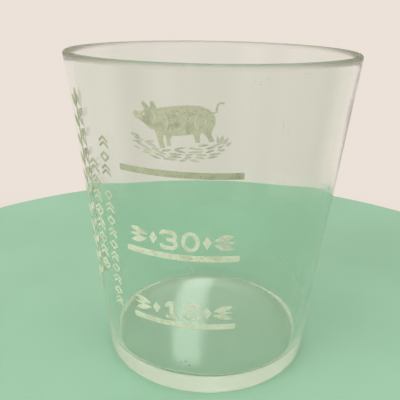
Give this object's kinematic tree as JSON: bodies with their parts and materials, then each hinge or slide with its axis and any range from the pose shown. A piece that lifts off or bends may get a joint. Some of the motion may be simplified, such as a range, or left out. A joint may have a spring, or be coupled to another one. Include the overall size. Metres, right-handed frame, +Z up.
{
  "type": "shot glass",
  "caption": "Thin-walled, straight-sided, tapering measure shot glass in clear glass, with frosted white fill lines, plain numerals, a small farm pig and upright columns of ornament.",
  "frame": {"origin": "centre of the flat underside, on the glass's axis", "axes": "+Z up along the glass's axis; the fill lines, numerals and pig are centred on -Y; the columns of ornament lie to the -X side of them"},
  "size_m": [0.0504, 0.0504, 0.057],
  "materials": {
    "clear_glass": "clear colourless thin glass, fire-polished lip, light wear",
    "fired_white": "matte frosted cream white, fired on, slightly translucent and worn"
  },
  "bodies": {
    "root": {"glass_body": "clear_glass", "fill_line_upper": "fired_white", "fill_line_middle": "fired_white", "fill_line_lower": "fired_white", "numeral_middle": "fired_white", "numeral_lower": "fired_white", "ornament_middle": "fired_white", "ornament_lower": "fired_white", "pig_emblem": "fired_white", "ground_strokes": "fired_white", "border_inner": "fired_white", "border_middle": "fired_white", "border_outer": "fired_white"}
  },
  "joints": []
}
